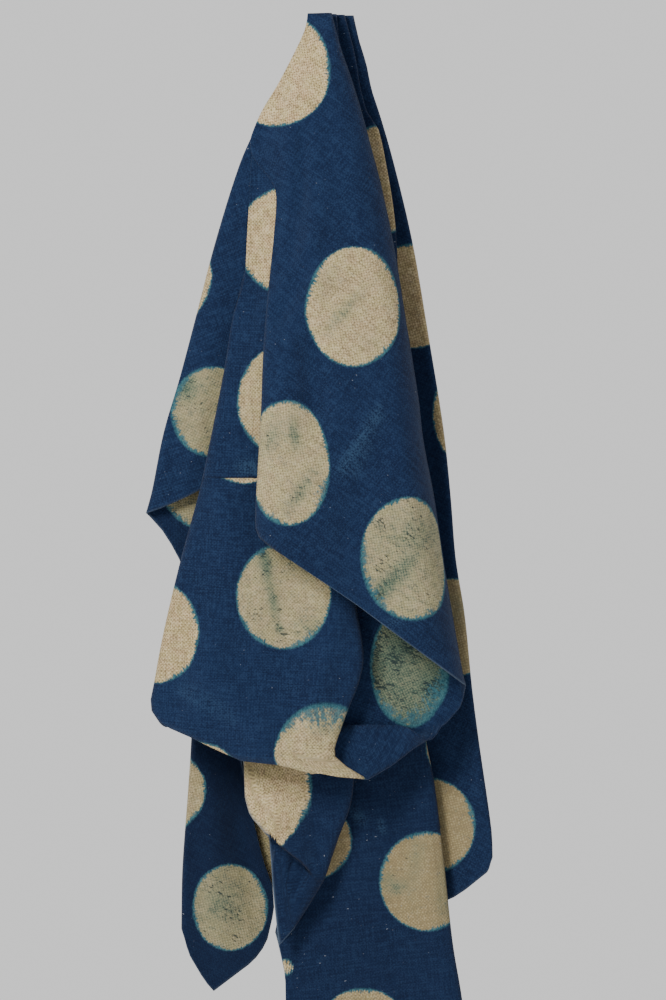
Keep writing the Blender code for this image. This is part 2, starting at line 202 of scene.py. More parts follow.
# The undyed discs, by the panel that each was bound on. Dirt is how stained a disc is, and tan
# how brown, from 0. Lean tips its top to the right, in degrees.
DISCS = (
    Disc("a", -36.5, 35.2, 36, 35.8, 0.05, 0.0), Disc("a", 13.3, 184, 30.6, 37, 0.4, 0.1, 3),
    Disc("a", -29, 281, 26.5, 38.5, 0.75, 0.05, -3), Disc("a", 48.5, 340, 31, 38, 1.15, 0.1, -3),
    Disc("k", -30, 142.5, 34, 33, 0.15, 0.1), Disc("k", -31, 242, 29, 33.7, 0.45, 0.15),
    Disc("b", -56, 261, 29, 32.3, 0.2, 0.1), Disc("b", -30.6, 363.5, 29.4, 32.5, 0.9, 0.2),
    Disc("b", -113, 386, 28.8, 31.5, 0.15, 0.25), Disc("b", -4.4, 461, 31.2, 30, 0.5, 0.1),
    Disc("b", -84.5, 483.2, 29, 29, 0.1, 0.0), Disc("h", -104.5, 164, 28.5, 30, 0.3, 0.2),
    Disc("h", -75, 248.8, 26.3, 28, 1.15, 0.45), Disc("h2", -80, 292.5, 28, 29.4, 1.2, 0.3),
    Disc("a2", 48, 407, 24.4, 37.5, 2.1, 0.45), Disc("e", 32.5, 102.5, 31, 33.8, 0.3, 0.55),
    Disc("d", 61, 47.5, 29, 30, 0.1, 0.5), Disc("d", 51, 175.6, 31, 32.5, 0.2, 0.5),
    Disc("d", 94, 249, 29.8, 36.5, 0.3, 0.6), Disc("d", 76, 384, 29.4, 30.6, 0.5, 0.8),
    Disc("d", 60.6, 508.8, 29.4, 30, 0.55, 0.85), Disc("e", 59.4, 543, 30, 31, 0.5, 0.85),
    Disc("e", 18.8, 641, 30, 30.6, 0.5, 0.6), Disc("e", -15.6, 517.5, 27.5, 25, 0.5, 0.8),
    Disc("e", 85.6, 459, 27, 22, 0.2, 0.6), Disc("e", -29.6, 597, 4.9, 5.0, 0.1, 0.1),
    Disc("f", -42.5, 485, 29.7, 37, 0.15, 0.05), Disc("g", -65.6, 560, 24.4, 27, 1.15, 0.5),
    Disc("g", -108, 487, 27, 25, 0.75, 0.4), Disc("back", -46.9, 522, 24, 32, 0.9, 0.0),
)
# Where the dye crept in under the clamp. Rows are (panel, x, drop, radius, depth).
CREEPS = (
    ("b", -12, 434, 20, 13), ("b", 6, 438, 14, 15), ("b", -46, 335, 12, 3), ("b", -18, 388, 12, 5),
    ("b", -50, 385, 10, 3), ("a", 30, 362, 14, 6), ("a", 20, 340, 12, 4), ("a", 62, 372, 12, 4),
    ("a", -8, 300, 12, 6), ("a", -44, 312, 12, 4), ("a", -22, 246, 12, 3), ("a2", 66, 425, 16, 16),
    ("a2", 30, 436, 13, 9), ("a2", 52, 440, 9, 14), ("a2", 28, 392, 12, 3), ("h", -100, 228, 16, 5),
    ("h", -98, 262, 14, 4), ("h2", -74, 312, 16, 6), ("h2", -92, 300, 12, 5), ("a", 26, 214, 14, 3),
    ("a", -8, 164, 12, 2), ("k", -44, 268, 10, 3), ("e", 36, 530, 8, 2), ("d", 88, 500, 12, 3),
    ("g", -80, 540, 12, 2), ("g", -94, 500, 14, 3), ("s", -50, 508, 18, 3),
)
# The back panel carries the plain repeat: a first disc, and two steps of (x, drop).
BACK_FIRST = (-46.9, 518.0)
BACK_STEPS = ((98.0, -28.0), (-30.0, -103.0))
BACK_HALF = (29.0, 31.0)
BACK_COUNT = 5
BACK_ACROSS = (-130.0, 140.0)
BACK_DOWN = (-20.0, 600.0)
BACK_DIRT = (0.35, 0.3)    # the middle, and how far it varies
BACK_TAN = 0.3
BACK_LEAN = 4
SPECIAL_NAMES = {"k": "b", "back": "s"}   # k is the left panel above its tuck
DISC_CLEARANCE = 10.0      # the least room between two discs on the back
HEM_HIGHLIGHT_REACH = 1.7       # how far up from its hem the pale line reaches: a painted highlight along the edge, and wear
HEM_HIGHLIGHT_AND_WEAR = {"f": 0.75, "e": 0.75, "a": 0.45, "a2": 0.1, "b": 0.05}
HEM_HIGHLIGHT_PLAIN = 0.25      # on the other panels
STEEP_HEMS = {"f": 1.5}    # panels whose hem runs down along them, and so the pale line reaches further

# Smudges on the discs. Rows are (panel, x, drop, half width, half height, lean, added dirt).
SMUDGES = (
    ("b", -41.5, 345, 4, 13, -8, 1.3), ("b", -37, 368, 3.2, 8, -14, 1.3),
    ("b", -33, 384, 2.6, 4, -14, 1.3), ("b", -14, 384, 9, 5, 0, 0.7), ("b", -22, 342, 10, 8, 0, 0.3),
    ("b", -46, 338, 8, 8, 0, 0.4), ("a", 31, 359, 4, 10, 42, 1.6), ("a", 52, 324, 15, 10, 0, 0.5),
    ("a", 44, 345, 5, 12, 38, 0.85), ("a", 7, 187, 3.2, 18, 42, 1.15), ("a", -4, 168, 8, 9, 30, 0.4),
    ("a", 24, 206, 8, 7, 0, 0.35), ("a", -38, 264, 6, 12, 20, 0.8), ("a", -20, 298, 3.8, 15, 36, 1),
    ("a", -24, 262, 3.6, 10, -6, 1.2), ("h", -94, 232, 9, 8, 0, 1.4), ("h", -70, 262, 8, 9, 0, 0.4),
    ("a2", 42, 396, 9, 18, 30, 0.7), ("a2", 62, 418, 9, 12, 30, 0.8), ("f", -52, 472, 9, 6, 0, 0.4),
    ("g", -70, 556, 12, 12, 20, 0.6), ("b", -3, 445, 12, 5, 0, 0.8), ("d", 78, 372, 7, 9, 0, 0.5),
    ("e", 38, 545, 7, 4, 10, 1.6), ("e", 52, 530, 5, 22, 6, 0.6), ("e", 70, 548, 6, 22, 4, 0.5),
)
# Rubbed, paler streaks, in rows like those of the creases but with a strength for the height
RUBS = (
    ("a", 247, 30, 286, 5, 3.2, 0.75), ("a", 268, 24, 290, 12, 1.6, 0.5),
    ("a", 312, -24, 282, 6, 1.2, 0.5), ("e", 501.5, 13.5, 509, 33, 1, 0.9),
    ("a", 368, 60, 384, 30, 4, 0.4), ("b", 420, -96, 440, -60, 3.5, 0.35),
    ("b", 281, -60, 284, -10, 2.4, 0.6), ("b", 287, -60, 288, -20, 1.2, 0.5),
)
# Painted shade: how much darker the blue is painted on the panels that hang behind, from 0 to 1
PAINTED_SHADE_BEHIND = {"g": 0.55, "e": 0.3, "e_back": 0.3, "s": 0.25, "f": 0.2, "h2": 0.3, "d": 0.1}

# Soft creases and ridges. Rows are (panel, drop, x, drop at its end, x there, half width,
# height), and height is towards the front.
CREASES = (
    ("a", 143, -4, 194, -36, 6, -8.5), ("a", 70, -19, 124, -20.5, 5, -13),
    ("a_back", 70, -19, 124, -20.5, 5, -5), ("a", 132, -22, 164, -28, 6, -6.5),
    ("a_back", 132, -22, 164, -28, 6, -1.5), ("a", 186, -15, 262, -10, 9, -7),
    ("a", 120, -10, 200, -14, 8, 5.6), ("a", 160, -26, 340, -36, 10, 3), ("a", 20, -3, 180, 30, 8, 3.4),
    ("a", 200, 40, 390, 60, 14, 4), ("a", 240, 34, 292, 2, 6, 1.6), ("a", 270, 30, 330, 10, 10, -2.2),
    ("a", 262, 0, 380, 20, 16, -3.6), ("b", 95, -46, 190, -46, 8, -3.4),
    ("b", 150, -66, 285, -82, 9, 3.4), ("b", 296, -66, 460, -88, 14, 4),
    ("b", 300, -22, 420, -34, 14, -3.6), ("b", 410, -76, 462, -40, 9, 3),
    ("b", 396, -70, 440, -20, 10, -2.4), ("b", 372, 2, 452, -16, 8, 2.6), ("b", 300, 8, 400, 10, 7, 1.2),
    ("b", 330, -75, 440, -98, 10, -2), ("f", 528, -27, 537, -14, 2.6, -4.6),
    ("f", 534, -27, 543, -11, 3, 4.4), ("f", 470, -46, 512, -34, 14, 2.4),
    ("f", 470, -10, 540, -14, 8, -1.2), ("b", 464, -1, 474, 14, 2.6, -4.2),
    ("s", 460, -50, 560, -42, 12, 8), ("e", 560, -14, 660, 0, 12, 2.4), ("e", 480, 40, 660, 40, 16, -2.6),
    ("e", 480, 4, 600, -8, 10, -2), ("e", 508, 58, 590, 66, 4, 2.6), ("e", 500, 68, 600, 78, 4, -2.2),
    ("d", 470, 70, 548, 84, 9, 2), ("g", 470, -78, 590, -70, 9, 2.4), ("g", 500, -62, 570, -48, 7, -2),
    ("h", 120, -64, 290, -92, 8, 2.6), ("h", 200, -92, 296, -96, 8, -2),
    ("a2", 400, 30, 460, 36, 9, -2.2), ("s", 60, -20, 540, -60, 14, -3), ("s", 80, 15, 535, 10, 16, -3.4),
    ("s", 90, 30, 530, 60, 12, -2.6), ("s", 60, 0, 540, -22, 12, 2.2),
)
EDGE_FADE = 7.0                # how soon a crease or wave is full, from a panel's folds
LINE_END = 5.0                 # how soon a crease or streak is full, from its ends
CREASE_ROOM = 0.25             # the least share of its height that is left near the peak
WRINKLE_SCALE = (26.0, 60.0)   # across and down a panel
WRINKLE_HEIGHT = 0.55
WRINKLE_ROOM = 0.2
WRINKLE_NOISE = (0.6, 2.0, 3)  # dimension, lacunarity and octaves
WRINKLE_SEED = 7.3
SWAY_SCALE = 140.0
SWAY_HEIGHT = 2.2              # the whole bundle together
SWAY_DROP = 200.0              # how far down it is full
SWAY_SEED = 3.1

# Colours, linear
INDIGO = (0.0092, 0.0248, 0.077)
INDIGO_DEEP = (0.0064, 0.0175, 0.058)
INDIGO_DARK = (0.0038, 0.0100, 0.034)
INDIGO_WORN = (0.019, 0.046, 0.116)
RUBBED = (0.040, 0.093, 0.175)
TEAL = (0.018, 0.080, 0.120)
TEAL_PALE = (0.062, 0.190, 0.225)
CREAM = (0.69, 0.535, 0.285)
CREAM_WARM = (0.61, 0.435, 0.210)
CREAM_PINK = (0.63, 0.435, 0.27)
CREAM_GREEN = (0.62, 0.55, 0.25)
CREAM_PALE = (0.90, 0.745, 0.455)
TAN = (0.30, 0.208, 0.093)
THREAD_SHADE = (0.28, 0.205, 0.108)
THREAD_MARK = (0.17, 0.15, 0.105)
STAIN = (0.058, 0.110, 0.088)
STAIN_SOFT = (0.25, 0.31, 0.20)
SPECK = (0.016, 0.034, 0.042)
HEM_PALE = (0.16, 0.22, 0.30)
LINT = (0.50, 0.54, 0.58)
FLOOR_COLOUR = (0.86, 0.85, 0.83)
SURFACE = {"Roughness": 0.93, "Specular IOR Level": 0.2, "Sheen Weight": 0.08,
           "Sheen Roughness": 0.5}
# The glow keeps the floor pale far from the lights.
FLOOR_SURFACE = {"Base Color": FLOOR_COLOUR, "Roughness": 0.95, "Emission Color": FLOOR_COLOUR,
                 "Emission Strength": 0.16}

# The camera and the studio, in metres
CAMERA_DISTANCE = 4.0
VIEW_MIDDLE_DROP = 0.30375
VIEW_HEIGHT = 0.625
SENSOR = 36.0
FLOOR_DROP = 1.05
FLOOR_HALF = 4.6
AIR_COLOUR = (0.9, 0.93, 1.0)
AIR_STRENGTH = 0.30
BACKDROP_COLOUR = (0.92, 0.92, 0.92)
LIGHT_AIM = (0.0, 0.0, -0.32)
# Rows are (name, place, size, power in watts, colour).
LIGHTS = (
    ("key", (-1.0, -1.6, 0.66), (0.6, 0.8), 33.5, (1.0, 0.965, 0.915)),
    ("fill", (1.9, -1.9, -0.1), (1.4, 1.6), 6.5, (0.93, 0.96, 1.0)),
    ("rim", (1.2, 1.2, 0.9), (0.6, 1.0), 9.0, (1.0, 1.0, 1.0)),
    ("back_fill", (-1.3, 1.9, 0.3), (1.2, 1.4), 18.0, (1.0, 0.98, 0.95)),
)


def smooth_step(value):
    value = min(max(value, 0.0), 1.0)
    return value * value * (3.0 - 2.0 * value)


def mix(low, high, share):
    return low + (high - low) * share


def mix_points(low, high, share):
    return tuple(mix(one, other, share) for one, other in zip(low, high))


@lru_cache(maxsize=None)
def curve_at(rows, share):
    """A point on a smooth curve through rows, share 0 to 1 along the first column's range."""
    drop = mix(rows[0][0], rows[-1][0], share)
    return drop, table_at(rows, drop)


def slope_at(rows, index):
    before = max(index - 1, 0)
    after = min(index + 1, len(rows) - 1)
    return (rows[after][1] - rows[before][1]) / (rows[after][0] - rows[before][0])


def table_at(rows, key):
    """The second column at a key in the first, on a smooth curve through the rows."""
    key = min(max(key, rows[0][0]), rows[-1][0])
    index = 0
    while index < len(rows) - 2 and rows[index + 1][0] < key:
        index += 1
    span = rows[index + 1][0] - rows[index][0]
    share = (key - rows[index][0]) / span
    start_slope = slope_at(rows, index) * span
    end_slope = slope_at(rows, index + 1) * span
    square = share * share
    cube = square * share
    return ((2 * cube - 3 * square + 1) * rows[index][1] + (cube - 2 * square + share) * start_slope
            + (3 * square - 2 * cube) * rows[index + 1][1] + (cube - square) * end_slope)


def lengths_along(points):
    total = [0.0]
    for before, after in zip(points, points[1:]):
        total.append(total[-1] + math.dist(before, after))
    return total


def point_along(points, lengths, distance):
    """The point at a distance along a line of straight pieces."""
    distance = min(max(distance, 0.0), lengths[-1])
    index = 0
    while index < len(points) - 2 and lengths[index + 1] < distance:
        index += 1
    span = max(lengths[index + 1] - lengths[index], 1e-9)
    return mix_points(points[index], points[index + 1], (distance - lengths[index]) / span)


def pitch_at(drop):
    return mix(NECK_PITCH, BODY_PITCH, smooth_step(drop / PITCH_DROP))


def squeeze_at(drop, x):
    """How much nearer the layers lie to the middle one, towards the bundle's outline."""
    left = table_at(OUTLINE_LEFT, drop)
    right = table_at(OUTLINE_RIGHT, drop)
    across = min(abs(x - (left + right) / 2.0) / ((right - left) / 2.0), 1.0)
    rounded = math.sqrt(1.0 - EDGE_SQUEEZE * across * across)
    return mix(1.0, rounded, smooth_step(drop / ROUND_DROP))


def depth_at(layer, drop, x):
    return (layer - MIDDLE_LAYER) * pitch_at(drop) * squeeze_at(drop, x)


def flatness(line, span, drop, x):
    """How flat a front pleat lies on what is behind it: 1 at its fold near the peak."""
    free = smooth_step((drop - span[0]) / (span[1] - span[0]))
    inside = smooth_step((x - table_at(FOLD_LINES[line], drop)) / NECK_SLOPE)
    return (1.0 - free) * (1.0 - inside)


def layer_at(panel, drop, x):
    """A panel's layer at one place, with the front pleats flat near the peak."""
    behind = BEHIND_LEFT
    left = mix(LEFT_LAYER, behind - NECK_LAP, flatness("b_left", REST_B, drop, x))
    if panel.name == "b":
        return left
    if panel.name == "b_side":
        return (left + behind) / 2.0
    if panel.name in ("a", "a_back"):
        share = 1.0 if panel.name == "a" else 0.5
        return left - share * mix(LEFT_LAYER, NECK_LAP, flatness("a_left", REST_A, drop, x))
    return panel.layer


def fold_reach(panel, beside, drop, x, width):
    """How far a panel's turn into the panel beside it reaches."""
    own = depth_at(layer_at(panel, drop, x), drop, x)
    other = depth_at(layer_at(beside, drop, x), drop, x)
    half = abs(own - other) / 2.0
    reach = min(half * half / FOLD_RADIUS, FOLD_REACH)
    return min(max(reach, half * FOLD_LEAST), FOLD_SHARE * width)


@lru_cache(maxsize=None)
def hem_line(panel):
    start = FOLD_LINES[panel.start][-1]
    end = FOLD_LINES[panel.end][-1]
    middle = panel.hem
    if middle and math.dist(start, middle[0]) > math.dist(start, middle[-1]):
        middle = tuple(reversed(middle))
    return (start,) + tuple(middle) + (end,)


def segment_gap(start, end, drop, x):
    """The distance from a place to a straight piece, and the share along the piece."""
    along = (end[0] - start[0], end[1] - start[1])
    share = ((drop - start[0]) * along[0] + (x - start[1]) * along[1])
    share = min(max(share / (along[0] ** 2 + along[1] ** 2), 0.0), 1.0)
    near = (start[0] + along[0] * share, start[1] + along[1] * share)
    return math.dist(near, (drop, x)), share


def turn_share(panel, drop, x):
    """How far the hem rises after its turn, at the hem point nearest to a place."""
    rows = panel.turn.rise
    found = [segment_gap(rows[i], rows[i + 1], drop, x) + (i,) for i in range(len(rows) - 1)]
    gap, share, nearest = min(found)
    if gap > TURN_NEAR:
        return 0.0
    return mix(rows[nearest][2], rows[nearest + 1][2], share)


def sides_at(panel, share):
    """Where a panel's two folds are at one height, and the width between them."""
    start = curve_at(FOLD_LINES[panel.start], share)
    end = curve_at(FOLD_LINES[panel.end], share)
    return start, end, max(math.dist(start, end), LEAST_WIDTH)


def column_shares(panel, before, after, share):
    """Where a panel's columns stand, from 0 at its start to 1 at its end, at one height."""
    start, end, width = sides_at(panel, share)
    angles = [math.radians(angle) for angle in TURN_ANGLES]
    first = [0.0]
    last = [1.0]
    if before is not None:
        reach = fold_reach(panel, before, *start, width) / width
        first = [reach * (1.0 - math.cos(angle)) for angle in angles]
    if after is not None:
        reach = fold_reach(panel, after, *end, width) / width
        last = [1.0 - reach * (1.0 - math.cos(angle)) for angle in reversed(angles)]
    inner = [mix(first[-1], last[0], step / panel.columns) for step in range(1, panel.columns)]
    return first + inner + last


def panel_depth(panel, before, after, share, across, drop, x):
    """The depth of one point, eased into the turns at the panel's two folds."""
    layer = layer_at(panel, drop, x)
    own = depth_at(layer + panel.bulge * math.sin(math.pi * across), drop, x)
    start, end, width = sides_at(panel, share)
    for beside, fold, gap in ((before, start, across * width), (after, end, (1.0 - across) * width)):
        if beside is None:
            continue
        reach = fold_reach(panel, beside, *fold, width)
        if gap < reach:
            middle = depth_at((layer + layer_at(beside, drop, x)) / 2.0, drop, x)
            return middle + (own - middle) * math.sqrt(max(1.0 - (1.0 - gap / reach) ** 2, 0.0))
    return own


def hang_point(panel, before, after, share, across):
    """One point of the sheet: share runs down from the peak and across runs over the panel."""
    start, end, _ = sides_at(panel, share)
    drop, x = mix_points(start, end, across)
    hem = hem_line(panel)
    lengths = lengths_along(hem)
    straight = mix_points(hem[0], hem[-1], across)
    wanted = point_along(hem, lengths, across * lengths[-1])
    pull = share ** panel.pull
    drop += (wanted[0] - straight[0]) * pull
    x += (wanted[1] - straight[1]) * pull
    return drop, x, panel_depth(panel, before, after, share, across, drop, x)


def turned_hem(panel, line, rise, amount):
    """Adds a hem's turn to a column, and says how far along the turn its rows stand."""
    radius = panel.turn.radius
    side = -1.0 if panel.turn.side == "front" else 1.0
    angle = math.pi * smooth_step(amount * TURN_ONSET)
    hem_drop, hem_x, hem_depth = line[-1]
    for step in range(1, TURN_STEPS + 1):
        turned = angle * step / TURN_STEPS
        line.append((hem_drop + radius * (math.sin(turned) - TURN_LIFT * angle / math.pi), hem_x,
                     hem_depth + side * radius * (1.0 - math.cos(turned))))
    line.append((line[-1][0] + rise * math.cos(angle), hem_x,
                 line[-1][2] + side * rise * math.sin(angle)))
    return radius * angle


def turned_row(row, reached, arc, rise):
    """How far along its column a row stands where the hem is turned."""
    if row < TURN_TAIL_ROWS:
        return reached - TAIL * (TURN_TAIL_ROWS - 1 - row) / TURN_TAIL_ROWS
    row -= TURN_TAIL_ROWS
    if row < TURN_ARC_ROWS:
        return reached + arc * (row + 1) / TURN_ARC_ROWS
    row -= TURN_ARC_ROWS
    return reached + arc + rise * (row + 1) / (TAIL_ROWS - TURN_TAIL_ROWS - TURN_ARC_ROWS)


def column_points(panel, before, after, index):
    """One column, from the peak down, as rows of (drop, x, depth, flat drop, gap to hem)."""
    line = []
    for step in range(COLUMN_STEPS + 1):
        share = step / COLUMN_STEPS
        across = column_shares(panel, before, after, share)[index]
        line.append(hang_point(panel, before, after, share, across))
    reached = lengths_along(line)[-1]
    hem_drop = line[-1][0]
    rise = turn_share(panel, line[-1][0], line[-1][1]) if panel.turn else 0.0
    amount = math.sqrt(rise / max(row[2] for row in panel.turn.rise)) if panel.turn else 0.0
    arc = turned_hem(panel, line, rise, amount) if rise > 0.0 else 0.0
    lengths = lengths_along(line)
    rows = [(reached - TAIL) * row / MAIN_ROWS for row in range(MAIN_ROWS + 1)]
    for row in range(TAIL_ROWS):
        plain = reached - TAIL * (TAIL_ROWS - 1 - row) / TAIL_ROWS
        turned = turned_row(row, reached, arc, rise)
        rows.append(mix(plain, turned, smooth_step(amount / TURN_START)))
    rows[-1] = lengths[-1]
    if panel.name in TUCKS:
        rows = gather_at_tuck(panel, rows, line, lengths)
    found = []
    for distance in rows:
        drop, x, depth = point_along(line, lengths, distance)
        past_hem = max(distance - reached, 0.0)
        flat_drop = hem_drop + past_hem if past_hem > 0.0 else drop
        found.append((drop, x, depth, flat_drop, abs(distance - reached)))
    return found


def tuck_at(name, x):
    """The drop of a panel's tuck and its step."""
    places = [row[0] for row in TUCKS[name]]
    drop = np.interp(x, places, [row[1] for row in TUCKS[name]])
    step = np.interp(x, places, [row[2] for row in TUCKS[name]])
    return drop, step


def gather_at_tuck(panel, rows, line, lengths):
    """Moves the rows nearest to the panel's tuck close to it."""
    below = [point[0] - tuck_at(panel.name, point[1])[0] for point in line[:COLUMN_STEPS + 1]]
    if below[-1] < TUCK_SPAN * 2.0:
        return rows
    at_tuck = float(np.interp(0.0, below, lengths[:COLUMN_STEPS + 1]))
    nearest = min(range(len(rows)), key=lambda i: abs(rows[i] - at_tuck))
    first = nearest - TUCK_ROWS // 2
    last = first + TUCK_ROWS
    low = at_tuck - TUCK_SPAN / 2.0
    high = at_tuck + TUCK_SPAN / 2.0
    moved = []
    for index, distance in enumerate(rows):
        if index < first:
            moved.append(distance * low / rows[first])
        elif index <= last:
            moved.append(mix(low, high, (index - first) / TUCK_ROWS))
        elif distance < rows[MAIN_ROWS]:
            share = (distance - rows[last]) / (rows[MAIN_ROWS] - rows[last])
            moved.append(mix(high, rows[MAIN_ROWS], share))
        else:
            moved.append(distance)
    return moved


def sheet_grid():
    """Every column of the sheet, as an array, and the range of columns of each panel."""
    columns = []
    ranges = {}
    for number, panel in enumerate(PANELS):
        before = PANELS[number - 1] if number > 0 else None
        after = PANELS[number + 1] if number < len(PANELS) - 1 else None
        count = len(column_shares(panel, before, after, 0.5))
        first = 1 if before is not None else 0
        begin = len(columns) - first
        for index in range(first, count):
            columns.append(column_points(panel, before, after, index))
        ranges[panel.name] = (begin, len(columns) - 1)
    return np.array(columns), ranges


def smooth_array(values):
    values = np.clip(values, 0.0, 1.0)
    return values * values * (3.0 - 2.0 * values)


def edge_fade(count):
    """A weight for a panel's columns: 0 at its two folds and 1 in its middle."""
    across = np.linspace(0.0, 1.0, count)
    return smooth_array(np.minimum(across, 1.0 - across) * EDGE_FADE)[:, None]


def panel_of(name):
    """The panel that a name in the tables stands for."""
    return SPECIAL_NAMES.get(name, name)


def laid_on(grid, ranges, rows, amount):
    """For each point, the sum of what the rows of a table lay on its panel."""
    total = np.zeros(grid.shape[:2])
    for name, *values in rows:
        begin, end = ranges[panel_of(name)]
        total[begin:end + 1] += amount(grid[begin:end + 1], *values)
    return total


def turned(right, down, lean):
    """The same two distances, along directions that lean by an angle in degrees."""
    angle = math.radians(lean)
    across = right * math.cos(angle) + down * math.sin(angle)
    along = down * math.cos(angle) - right * math.sin(angle)
    return across, along


def soft_line(part, drop, x, drop_end, x_end, half_width, strength):
    """A soft line on a panel, from one place to another."""
    line = np.array((drop_end - drop, x_end - x), dtype=float)
    length = math.hypot(*line)
    away = part[:, :, :2] - np.array((drop, x))
    share = (away @ line) / length ** 2
    aside = (away[:, :, 0] * line[1] - away[:, :, 1] * line[0]) / length
    start = smooth_array(share * LINE_END + 0.5)
    end = smooth_array((1.0 - share) * LINE_END + 0.5)
    return strength * np.exp(-(aside / half_width) ** 2) * start * end


def crease(part, *values):
    """A soft line that fades at its panel's folds and near the peak, where there is no room."""
    room = np.clip(part[:, :, 0] / PITCH_DROP, CREASE_ROOM, 1.0)
    return soft_line(part, *values) * room * edge_fade(len(part))


def smudge(part, x, drop, half_width, half_height, lean, strength):
    """A soft oval on a panel."""
    across, along = turned(part[:, :, 1] - x, part[:, :, 3] - drop, lean)
    return strength * np.exp(-(across / half_width) ** 2 - (along / half_height) ** 2)


def creep(part, x, drop, radius, depth):
    """A soft round place on a panel, where dye crept in."""
    return smudge(part, x, drop, radius, radius, 0.0, depth)


def add_tucks(grid, ranges):
    """The cloth above a tuck stands a little in front of the cloth below."""
    for name in TUCKS:
        begin, end = ranges[name]
        part = grid[begin:end + 1]
        drop, step = tuck_at(name, part[:, :, 1])
        above = drop - part[:, :, 0]
        up = np.clip(above, 0.0, None) / TUCK_ABOVE[name]
        down = np.clip(-above, 0.0, None) / TUCK_BELOW[name]
        proud = smooth_array(above / TUCK_EDGE + 0.5) * np.exp(-up)
        drawn = smooth_array(-above / TUCK_EDGE + 0.5) * np.exp(-down)
        part[:, :, 2] += step * ((1.0 - TUCK_PROUD) * drawn - TUCK_PROUD * proud)


def add_wrinkles(grid, ranges):
    """Small uneven waves on every panel, and a slow sway of the whole bundle."""
    across, down = WRINKLE_SCALE
    for number, panel in enumerate(PANELS):
        begin, end = ranges[panel.name]
        fade = edge_fade(end - begin + 1)[:, 0] * WRINKLE_HEIGHT
        for column in range(begin, end + 1):
            for point in grid[column]:
                place = Vector((point[1] / across, point[0] / down, number * WRINKLE_SEED))
                room = min(max(point[0] / PITCH_DROP, WRINKLE_ROOM), 1.0)
                point[2] += noise.fractal(place, *WRINKLE_NOISE) * room * fade[column - begin]
    for point in grid.reshape(-1, grid.shape[2]):
        place = Vector((point[1] / SWAY_SCALE, point[0] / SWAY_SCALE, SWAY_SEED))
        point[2] += noise.noise(place) * SWAY_HEIGHT * smooth_step(point[0] / SWAY_DROP)


def unrolled(grid, begin, end):
    """Each column's x as if the sheet were flat beyond a panel, and 1 if that runs rightwards."""
    x = grid[:, :, 1]
    row = grid.shape[1] // 2
    sign = 1.0 if x[end, row] > x[begin, row] else -1.0
    steps = np.hypot(np.diff(x, axis=0), np.diff(grid[:, :, 2], axis=0)) * sign
    middle = (begin + end) // 2
    flat = np.zeros_like(x)
    flat[middle] = x[middle]
    flat[middle + 1:] = x[middle] + np.cumsum(steps[middle:], axis=0)
    if middle > 0:
        flat[:middle] = x[middle] - np.cumsum(steps[:middle][::-1], axis=0)[::-1]
    return flat, sign


def back_discs():
    """The even repeat on the back panel, which the front view hardly shows."""
    found = []
    for along in range(-BACK_COUNT, BACK_COUNT + 1):
        for up in range(0, BACK_COUNT + 2):
            x = BACK_FIRST[0] + along * BACK_STEPS[0][0] + up * BACK_STEPS[1][0]
            drop = BACK_FIRST[1] + along * BACK_STEPS[0][1] + up * BACK_STEPS[1][1]
            if BACK_ACROSS[0] < x < BACK_ACROSS[1] and BACK_DOWN[0] < drop < BACK_DOWN[1]:
                dirt = BACK_DIRT[0] + BACK_DIRT[1] * math.sin(5.0 * along + 3.0 * up)
                found.append(Disc("s", x, drop, *BACK_HALF, dirt, BACK_TAN, BACK_LEAN))
    return tuple(found)


def side_of_tuck(name, grid):
    """The part of the sheet on which a disc shows, where its panel has a tuck."""
    panel = panel_of(name)
    if panel not in TUCKS:
        return np.ones(grid.shape[:2], dtype=bool)
    above = grid[:, :, 0] <= tuck_at(panel, grid[:, :, 1])[0]
    return above if name in ("k", "f") else ~above


def hem_highlight_and_wear(grid, ranges):
    """How pale the cloth is at its hems: a painted highlight along each edge, and wear."""
    edge_highlight_and_wear = np.zeros(grid.shape[:2])
    for panel in PANELS:
        begin, end = ranges[panel.name]
        reach = HEM_HIGHLIGHT_REACH * STEEP_HEMS.get(panel.name, 1.0)
        near = smooth_array(1.0 - grid[begin:end + 1, :, 4] / reach)
        edge_highlight_and_wear[begin:end + 1] = near * HEM_HIGHLIGHT_AND_WEAR.get(panel.name, HEM_HIGHLIGHT_PLAIN)
    return edge_highlight_and_wear


def painted_shade_behind(grid, ranges):
    """How much painted shade darkens each point, on the panels that hang behind."""
    depth = np.zeros(grid.shape[:2])
    for name, value in PAINTED_SHADE_BEHIND.items():
        begin, end = ranges[name]
        depth[begin:end + 1] = value
    return depth


